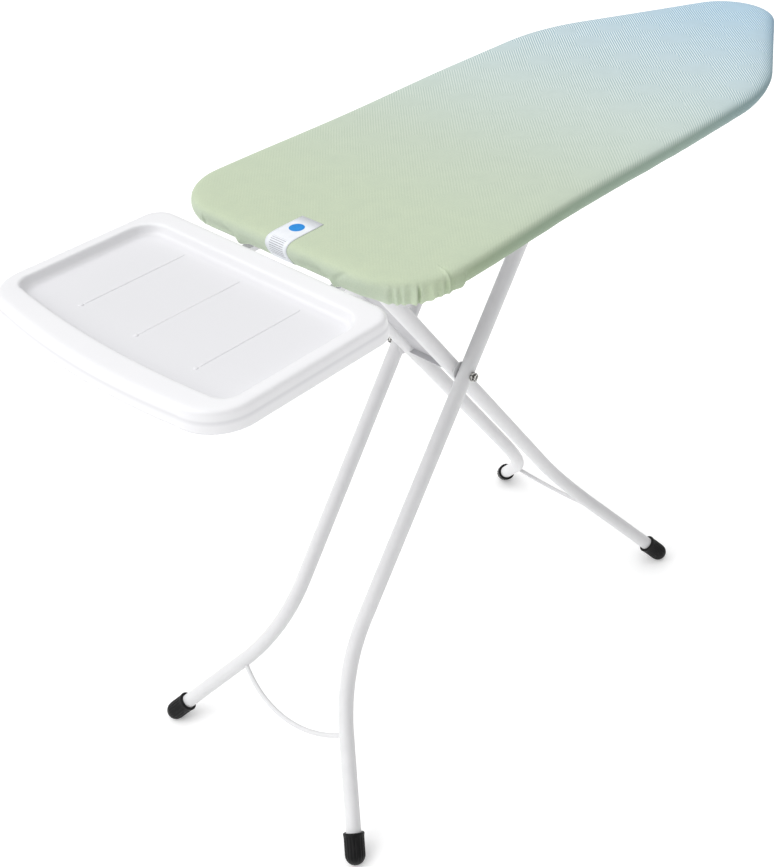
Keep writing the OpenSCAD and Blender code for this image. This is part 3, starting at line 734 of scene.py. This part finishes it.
def powder_coat(name, colour, dark, rough_at=0.38, peel=0.12):
    """Sprayed and baked coat: fine orange peel, faint mottling, a few dull scuffs."""
    net = Net(name)
    mottle = net.noise(55, 4, 0.6)
    scuff = net.between(net.noise(170, 6, 0.7), 0.62, 0.74)
    tone = net.mix(net.between(mottle, 0.3, 0.7, 0.0, 0.35), colour, dark)
    dull = net.between(mottle, 0.3, 0.7, rough_at - 0.05, rough_at + 0.07)
    net.set(Base_Color=net.mix(net.math("MULTIPLY", scuff, 0.25), tone, dark),
            Roughness=net.math("MULTIPLY_ADD", scuff, 0.15, dull),
            Normal=net.bump(net.noise(900, 2, 0.5), peel, 0.0003))
    net.shader.inputs["Specular IOR Level"].default_value = 0.45
    return net.material


def plated_steel(name, colour, rough_at=0.32):
    """Plated steel with drawn streaks and a slightly cloudy finish."""
    net = Net(name)
    axes = zip(net.split(), (900, 160, 900))
    stretched = net.join(*(net.math("MULTIPLY", place, scale) for place, scale in axes))
    fine = net.noise(1, 3, 0.6, stretched)
    cloud = net.noise(90, 4, 0.6)
    dark = tuple(c * 0.7 for c in colour[:3]) + (1.0,)
    dull = net.between(cloud, 0.3, 0.7, rough_at - 0.08, rough_at + 0.1)
    net.set(Base_Color=net.mix(net.between(cloud, 0.35, 0.7), colour, dark), Metallic=1.0,
            Roughness=net.math("MULTIPLY_ADD", fine, 0.18, dull),
            Normal=net.bump(fine, 0.25, 0.0002))
    return net.material


def chrome_painted_reflection(name):
    """Bright turned steel with a painted reflection: dark flecks in its colour stand in for the speckled look
    of mirrored chrome.
    """
    net = Net(name)
    # painted reflection: dark flecks painted into the colour, more metallic where dark
    painted_fleck = net.between(net.noise(330, 3, 0.6), 0.44, 0.54)
    fine = net.noise(1500, 3, 0.6)
    net.set(Base_Color=net.mix(painted_fleck, srgb(236, 235, 230), srgb(58, 56, 54)),
            Metallic=net.math("MULTIPLY_ADD", painted_fleck, 0.4, 0.3),
            Roughness=net.between(fine, 0.3, 0.7, 0.22, 0.36), Normal=net.bump(fine, 0.3, 0.0003))
    return net.material


def moulded(name, colour, dark, rough_at, grain_scale, grain):
    """Moulded plastic: fine spark-eroded grain, soft flow marks."""
    net = Net(name)
    flow = net.noise(14, 3, 0.55)
    grit = net.noise(grain_scale, 3, 0.65)
    dull = net.between(flow, 0.3, 0.7, rough_at - 0.09, rough_at)
    net.set(Base_Color=net.mix(net.between(flow, 0.3, 0.7, 0.0, 0.5), colour, dark),
            Roughness=net.math("MULTIPLY_ADD", grit, 0.12, dull),
            Normal=net.bump(grit, grain, 0.0002))
    net.shader.inputs["Specular IOR Level"].default_value = 0.5
    return net.material


def tray_finish():
    """White moulded plastic: satin lip, and a duller, finely textured floor in the recess, where a darker
    colour is painted shade.
    """
    net = Net("tray_plastic")
    z = net.split()[2]
    # painted shade: the colour turns darker at the recess floor's height, on everything there: the recess
    # floor, the ribs and the outer skirt
    deep = net.between(z, (TRAY_TOP - 12) * MM, (TRAY_TOP - 14.6) * MM)
    deep = net.math("MULTIPLY", deep, net.between(z, (TRAY_TOP - 20) * MM, (TRAY_TOP - 16) * MM))
    flow = net.noise(9, 3, 0.55)
    grit = net.noise(1400, 3, 0.65)
    lip = net.mix(net.between(flow, 0.3, 0.7, 0.0, 0.5), srgb(244, 244, 246), srgb(239, 239, 242))
    net.set(Base_Color=net.mix(deep, lip, srgb(229, 229, 232)),
            Roughness=net.math("MULTIPLY_ADD", deep, 0.14, net.between(flow, 0.3, 0.7, 0.30, 0.38)),
            Normal=net.bump(grit, 0.12, 0.0002))
    net.shader.inputs["Specular IOR Level"].default_value = 0.5
    return net.material


# The print: plain rounded shapes, each with its middle and half sizes along and across the board, in a
# repeat whose rows are offset by half, and the pitch of the slanting hatch round them
BLOBS = [(280, 120, 24, 22), (198, 105, 29, 26), (320, 65, 20, 20), (255, 50, 12, 14)]
REPEAT = (207, 214)
HATCH_PITCH = 4.07
STITCH_DROP = 21.5


def plain_shapes(net, u, v):
    """Below 1 inside the plain shapes of the print, which repeat in offset rows."""
    nearest = None
    for bx, by, rx, ry in BLOBS:
        for ox, oy in ((0.0, 0.0), (REPEAT[0] / 2, REPEAT[1] / 2)):
            total = None
            for place, at, period, radius in ((u, bx + ox, REPEAT[0], rx), (v, by + oy, REPEAT[1], ry)):
                turns = net.math("MULTIPLY_ADD", place, 1 / (period * MM), 0.5 - at / period)
                turns = net.math("FRACT", turns)
                reach = net.math("MULTIPLY_ADD", turns, period / radius, -0.5 * period / radius)
                total = net.math("MULTIPLY_ADD", reach, reach, 0.0 if total is None else total)
            nearest = total if nearest is None else net.math("MINIMUM", nearest, total)
    return nearest


def cover_cloth():
    """Woven cotton in a green to blue fade, printed with a slanting hatch round plain rounded shapes; the
    band below the edge carries a painted shade.
    """
    net = Net("cover_cloth")
    flat = net.tree.nodes.new("ShaderNodeUVMap")
    flat.uv_map = "Flat"
    u, v, _ = net.split(flat.outputs[0])
    x, _, z = net.split()
    along = net.between(x, BOARD_X0 * MM, BOARD_X1 * MM)
    # the hatch's dark and light lines from the wide end to the nose, and the band's painted shade: darker
    # where the band turns away from the light, lighter on the wide end that faces it
    deep = net.ramp(along, [(0.0, srgb(202, 214, 184)), (0.15, srgb(199, 212, 186)),
                            (0.3, srgb(194, 208, 189)), (0.5, srgb(186, 204, 199)),
                            (0.72, srgb(140, 177, 196)), (1.0, srgb(112, 166, 210))])
    pale = net.ramp(along, [(0.0, srgb(203, 215, 186)), (0.15, srgb(205, 217, 192)),
                            (0.3, srgb(210, 220, 204)), (0.5, srgb(224, 234, 228)),
                            (0.72, srgb(246, 254, 254)), (1.0, srgb(228, 248, 255))])
    band = net.ramp(along, [(0.0, srgb(210, 222, 202)), (0.045, srgb(200, 214, 182)),
                            (0.10, srgb(152, 170, 136)), (0.2, srgb(134, 158, 130)),
                            (0.5, srgb(130, 156, 142)), (0.75, srgb(96, 134, 146)),
                            (1.0, srgb(84, 140, 178))])
    cloth_place = flat.outputs[0]
    wander = [net.math("MULTIPLY_ADD", net.noise(s, 3, 0.6, cloth_place), 0.016, -0.008) for s in (34, 41)]
    shapes = plain_shapes(net, net.math("ADD", u, wander[0]), net.math("ADD", v, wander[1]))
    hatched = net.between(shapes, 0.85, 1.1)
    slant = net.math("MULTIPLY", net.math("SUBTRACT", u, v), math.sqrt(0.5))
    waver = net.noise(40, 2, 0.5, cloth_place)
    lines = net.wave(net.math("MULTIPLY_ADD", waver, 0.0010, slant), HATCH_PITCH * MM)
    # painted shade: below the top edge the colour turns most of the way to the band's darker colour
    band_shade = net.between(z, (TOP_Z - 2) * MM, (TOP_Z - 10) * MM)
    uneven = net.between(net.noise(75, 3, 0.6, cloth_place), 0.3, 0.7, 0.65, 1.25)
    swing = net.math("MULTIPLY", net.math("MULTIPLY", net.math("SUBTRACT", lines, 0.5), hatched), uneven)
    mark = net.math("ADD", net.math("MULTIPLY", swing, 1.1), 0.45, clamp=True)
    ground = net.mix(net.math("MULTIPLY", band_shade, 0.76), net.mix(mark, deep, pale), band)
    thread = 1.1 * MM
    weave = net.math("MULTIPLY", net.wave(u, thread), net.wave(v, thread))
    ground = net.mix(net.math("MULTIPLY", weave, 0.10), ground, srgb(120, 140, 132))
    soft = net.noise(38, 5, 0.62, cloth_place)
    slub = net.noise(430, 3, 0.7, cloth_place)
    ground = net.mix(net.between(slub, 0.35, 0.7, 0.0, 0.16), ground, srgb(150, 168, 150))
    ground = net.mix(net.between(soft, 0.35, 0.75, 0.0, 0.10), ground, srgb(150, 168, 158))
    # a row of stitches that holds the drawn hem
    stitch_height = net.math("SUBTRACT", z, (TOP_Z - STITCH_DROP) * MM)
    line = net.between(net.math("ABSOLUTE", stitch_height), 0.0004, 0.0008, 1.0, 0.0)
    dashes = net.between(net.wave(u, 0.0048), 0.25, 0.4)
    stitch = net.math("MULTIPLY", line, dashes)
    ground = net.mix(net.math("MULTIPLY", stitch, 0.25), ground, srgb(214, 222, 205))
    height = net.math("ADD", net.math("MULTIPLY", weave, 0.35), net.math("MULTIPLY", mark, 0.3))
    height = net.math("ADD", height, net.math("MULTIPLY", stitch, 0.8))
    crease = net.bump(net.noise(16, 4, 0.6, cloth_place), 0.10, 0.004)
    net.set(Base_Color=ground, Roughness=net.between(soft, 0.3, 0.7, 0.82, 0.94),
            Normal=net.bump(height, 0.45, 0.0004, crease))
    net.shader.inputs["Sheen Weight"].default_value = 0.12
    net.shader.inputs["Sheen Roughness"].default_value = 0.5
    net.shader.inputs["Specular IOR Level"].default_value = 0.2
    return net.material


def label_cloth():
    """Satin tape with a plain printed disc and a stitched edge."""
    net = Net("label_satin")
    flat = net.tree.nodes.new("ShaderNodeUVMap")
    flat.uv_map = "Flat"
    u, v, _ = net.split(flat.outputs[0])
    disc_u, disc_v, disc_r = 28.5 * MM, 1.5 * MM, 10.6 * MM
    du, dv = net.math("SUBTRACT", u, disc_u), net.math("SUBTRACT", v, disc_v)
    away = net.math("SQRT", net.math("ADD", net.math("MULTIPLY", du, du), net.math("MULTIPLY", dv, dv)))
    disc = net.between(away, disc_r, disc_r + 0.4 * MM, 1.0, 0.0)
    weft, warp = net.wave(u, 0.0006), net.wave(v, 0.0009)
    cloud = net.between(net.noise(120, 4, 0.6), 0.35, 0.7, 0.0, 0.5)
    paper = net.mix(cloud, srgb(243, 246, 250), srgb(230, 235, 243))
    ink = net.mix(net.between(net.noise(240, 3, 0.5), 0.3, 0.7), srgb(0, 134, 216), srgb(0, 146, 230))
    # rows of unreadable care marks on the part that hangs down
    row = net.math("DIVIDE", u, 2.9 * MM)
    off_middle = net.math("ABSOLUTE", net.math("SUBTRACT", net.math("FRACT", row), 0.5))
    bar = net.between(off_middle, 0.16, 0.26, 1.0, 0.0)
    marks = net.noise(1, 2, 0.6, net.join(net.math("FLOOR", row), net.math("MULTIPLY", v, 900), 0.0))
    block = net.math("MULTIPLY", net.between(u, 0.0595, 0.0600), net.between(u, 0.0875, 0.0880, 1.0, 0.0))
    block = net.math("MULTIPLY", block, net.between(net.math("ABSOLUTE", v), 0.0128, 0.0134, 1.0, 0.0))
    bar = net.math("MULTIPLY", net.math("MULTIPLY", bar, net.between(marks, 0.36, 0.48)), block)
    edge = net.math("SUBTRACT", LABEL_HALF * MM, net.math("ABSOLUTE", v))
    line = net.between(net.math("ABSOLUTE", net.math("SUBTRACT", edge, 0.0017)), 0.0002, 0.0005, 1.0, 0.0)
    stitch = net.math("MULTIPLY", line, net.between(net.wave(u, 0.0032), 0.3, 0.45))
    colour = net.mix(net.math("MULTIPLY", bar, 0.6), net.mix(disc, paper, ink), srgb(96, 96, 108))
    net.set(Base_Color=net.mix(net.math("MULTIPLY", stitch, 0.4), colour, srgb(196, 204, 214)),
            Roughness=net.between(net.noise(300, 3, 0.6), 0.3, 0.7, 0.38, 0.52),
            Normal=net.bump(net.math("ADD", net.math("MULTIPLY", weft, warp), stitch), 0.35, 0.0002))
    net.shader.inputs["Sheen Weight"].default_value = 0.06
    net.shader.inputs["Specular IOR Level"].default_value = 0.3
    return net.material


def foam_felt():
    """Open foam under a thin felt: fuzzy, with small pores."""
    net = Net("foam_felt")
    pores = net.cells(620)
    fuzz = net.noise(260, 5, 0.7)
    net.set(Base_Color=net.mix(net.between(fuzz, 0.3, 0.7), srgb(226, 222, 208), srgb(206, 202, 190)),
            Roughness=net.between(fuzz, 0.3, 0.7, 0.9, 0.98),
            Normal=net.bump(net.math("ADD", pores, fuzz), 0.6, 0.0006))
    net.shader.inputs["Sheen Weight"].default_value = 0.3
    return net.material


def black_rubber():
    """Black rubber with dust, most of it near the floor."""
    net = Net("foot_rubber")
    grit = net.noise(700, 3, 0.6)
    dust = net.noise(60, 5, 0.65)
    z = net.split()[2]
    low = net.between(z, 0.0, 0.016, 0.5, 0.0)
    dull = net.math("ADD", net.between(dust, 0.5, 0.75, 0.0, 0.4), low, clamp=True)
    net.set(Base_Color=net.mix(net.math("MULTIPLY", dull, 0.22), srgb(14, 14, 15), srgb(72, 70, 68)),
            Roughness=net.math("MULTIPLY_ADD", dull, 0.25, 0.48), Normal=net.bump(grit, 0.25, 0.0003))
    net.shader.inputs["Specular IOR Level"].default_value = 0.22
    return net.material


white_coat = powder_coat("white_coat", srgb(230, 230, 231), srgb(219, 219, 221))
# painted shade: a darker copy of the white coat for the web between the inner legs, where shade falls
web_coat_painted_shade = powder_coat("web_coat_painted_shade", srgb(190, 190, 193), srgb(176, 176, 179), 0.42)
grey_coat = powder_coat("grey_coat", srgb(206, 205, 212), srgb(186, 186, 195), 0.42, 0.2)
sheet_coat = powder_coat("sheet_coat", srgb(196, 199, 204), srgb(176, 180, 187), 0.4, 0.2)
zinc = plated_steel("zinc_plate", srgb(188, 190, 194))
nut_steel = chrome_painted_reflection("nut_chrome")
dark_steel = plated_steel("bolt_steel", srgb(96, 96, 98), 0.3)
tray_white = tray_finish()
dark_plastic = moulded("dark_plastic", srgb(52, 54, 58), srgb(40, 42, 46), 0.55, 900, 0.3)
plug_plastic = moulded("plug_plastic", srgb(34, 34, 36), srgb(26, 26, 28), 0.5, 900, 0.2)
nylon = moulded("nylon", srgb(222, 221, 214), srgb(208, 207, 200), 0.42, 800, 0.15)
cloth, tape_cloth, felt, rubber = cover_cloth(), label_cloth(), foam_felt(), black_rubber()

dress(cover, cloth)
dress(label, tape_cloth)
dress(foam, felt)
dress(tray, tray_white)
dress(ribs, tray_white)
for cap in feet:
    dress(cap, rubber)

FINISH = {
    white_coat: ("inner_leg_near", "inner_leg_far", "outer_leg_near", "outer_leg_far", "inner_brace",
                 "outer_brace", "crossing_washers", "tray_arm_near", "tray_arm_far"),
    web_coat_painted_shade: ("inner_web",),
    grey_coat: ("rim", "cross_member_1", "cross_member_2", "cross_member_3", "cross_member_4",
                "pivot_bracket", "adjuster_rails", "hook_bracket"),
    sheet_coat: ("top_sheet",),
    zinc: ("fixed_crossbar", "sliding_crossbar", "lever_pin", "hook_pin", "lever_spring", "release_lever",
           "catch_plate", "tray_screws", "crossbar_caps", "sliding_bar_caps"),
    nut_steel: ("crossing_nuts",),
    dark_steel: ("crossing_bolts", "arm_bolts"),
    dark_plastic: ("lever_grip", "transport_hook"),
    plug_plastic: ("inner_plugs", "outer_plugs"),
    nylon: ("slide_rollers",),
}
for material, nodes in FINISH.items():
    for node in nodes:
        dress(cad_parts[node], material)


# ---------- floor, light, camera ----------

FLOOR_GLOW, SKY_GLOW = 0.25, 0.33

floor_net = Net("studio_floor")
mottle = floor_net.between(floor_net.noise(6, 3, 0.5), 0.3, 0.7)
floor_net.set(Base_Color=floor_net.mix(mottle, (0.93, 0.93, 0.93, 1), (0.95, 0.95, 0.95, 1)), Roughness=0.9)
floor_net.shader.inputs["Emission Color"].default_value = (1, 1, 1, 1)
floor_net.shader.inputs["Emission Strength"].default_value = FLOOR_GLOW
bpy.ops.mesh.primitive_plane_add(size=60, location=(0, 0, 0))
floor = bpy.context.object
floor.name = "floor"
dress(floor, floor_net.material)

view = bpy.context.scene.view_settings
view.view_transform = "Standard"
view.look = "None"

world = bpy.data.worlds.new("studio")
bpy.context.scene.world = world
world.use_nodes = True
sky = world.node_tree.nodes["Background"]
sky.inputs[0].default_value = (1.0, 1.0, 1.0, 1)
sky.inputs[1].default_value = SKY_GLOW


def soft_sun(name, come_from, strength, spread):
    """A broad soft light from one side, even from the floor to the top."""
    data = bpy.data.lights.new(name, "SUN")
    data.energy = strength
    data.angle = math.radians(spread)
    obj = bpy.data.objects.new(name, data)
    obj.rotation_euler = Vector(come_from).to_track_quat("Z", "Y").to_euler()
    bpy.context.scene.collection.objects.link(obj)


soft_sun("key", (-2.6, 1.1, 2.6), strength=1.38, spread=60)
soft_sun("top", (0.2, 0.6, 3.0), strength=1.40, spread=90)

# The photograph's own view: where the camera stands, and the directions to its right, up and ahead
CAMERA_AT = (-1.36457, -1.09247, 1.72261)
CAMERA_RIGHT = Vector((0.679815, -0.732418, -0.037617))
CAMERA_UP = Vector((0.461424, 0.38729, 0.798182))
CAMERA_AHEAD = Vector((0.570034, 0.559973, -0.601241))
LENS, SENSOR = 50.459, 36

camera_data = bpy.data.cameras.new("photo_view")
camera_data.sensor_width = SENSOR
camera_data.lens = LENS
camera_data.clip_start, camera_data.clip_end = 0.05, 200
camera = bpy.data.objects.new("photo_view", camera_data)
turn = Matrix((CAMERA_RIGHT, CAMERA_UP, -CAMERA_AHEAD)).transposed()
camera.matrix_world = Matrix.Translation(CAMERA_AT) @ turn.to_4x4()
bpy.context.scene.collection.objects.link(camera)
bpy.context.scene.camera = camera
